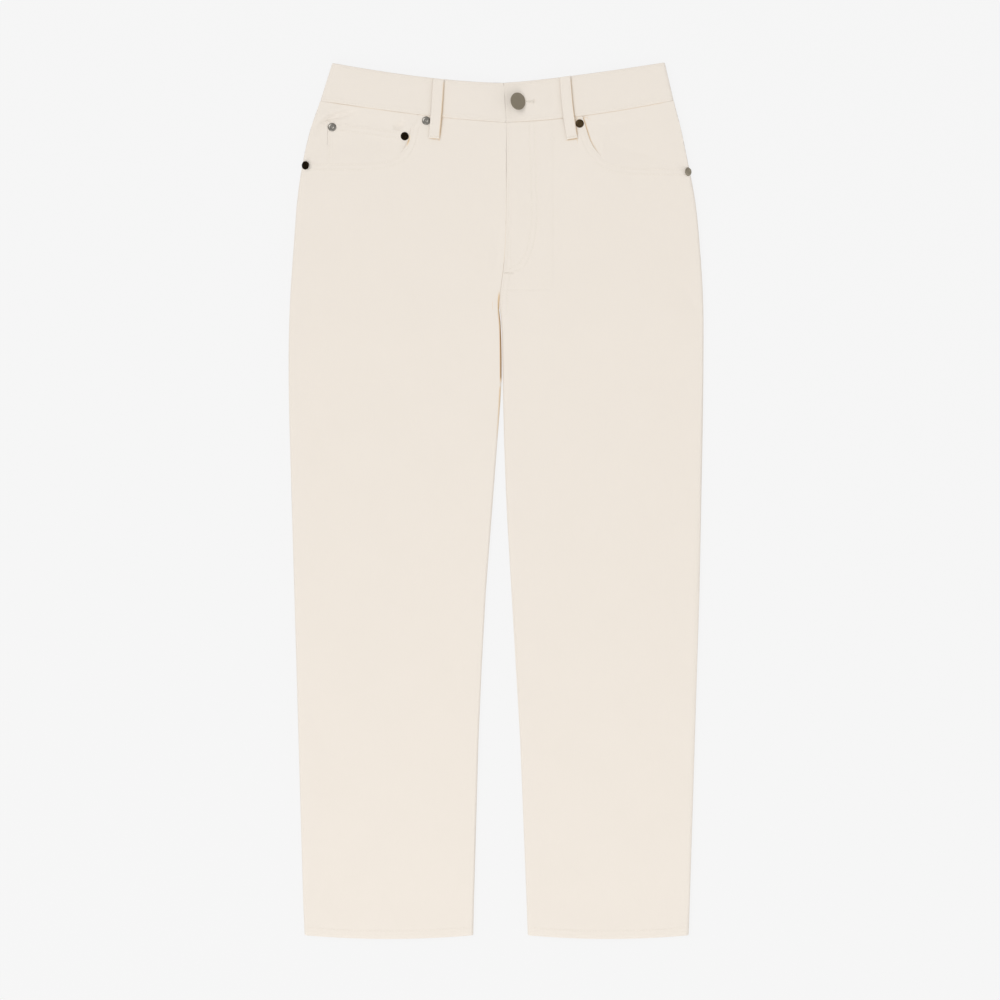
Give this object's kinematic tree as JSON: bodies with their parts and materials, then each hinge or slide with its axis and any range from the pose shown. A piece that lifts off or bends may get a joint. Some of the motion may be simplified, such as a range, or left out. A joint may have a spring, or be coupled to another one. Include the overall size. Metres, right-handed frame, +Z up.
{
  "type": "five-pocket jeans laid flat",
  "caption": "Straight cropped five-pocket jeans in ecru cotton, laid flat on their back with the fly buttoned.",
  "frame": {"origin": "on the surface, under the middle of the jeans", "axes": "+Y from the hems to the waist, +Z up through the front, +X towards the wearer's left leg"},
  "size_m": [0.4523, 0.955, 0.0196],
  "materials": {
    "cloth": "ecru cotton twill, matte",
    "button_metal": "matte gunmetal",
    "rivet_metal": "dark nickel, satin"
  },
  "bodies": {
    "root": {"front_right": "cloth", "front_left": "cloth", "back_right": "cloth", "back_left": "cloth", "yoke_right": "cloth", "yoke_left": "cloth", "facing_right": "cloth", "facing_left": "cloth", "watch_pocket": "cloth", "back_pocket_right": "cloth", "back_pocket_left": "cloth", "waistband_right": "cloth", "waistband_left": "cloth", "waistband_back": "cloth", "loop_front_right": "cloth", "loop_front_left": "cloth", "loop_back_right": "cloth", "loop_back_centre": "cloth", "loop_back_left": "cloth", "button": "button_metal", "rivet_right_waist": "rivet_metal", "rivet_right_side": "rivet_metal", "rivet_left_waist": "rivet_metal", "rivet_left_side": "rivet_metal", "rivet_watch_outer": "rivet_metal", "rivet_watch_inner": "rivet_metal"}
  },
  "joints": []
}
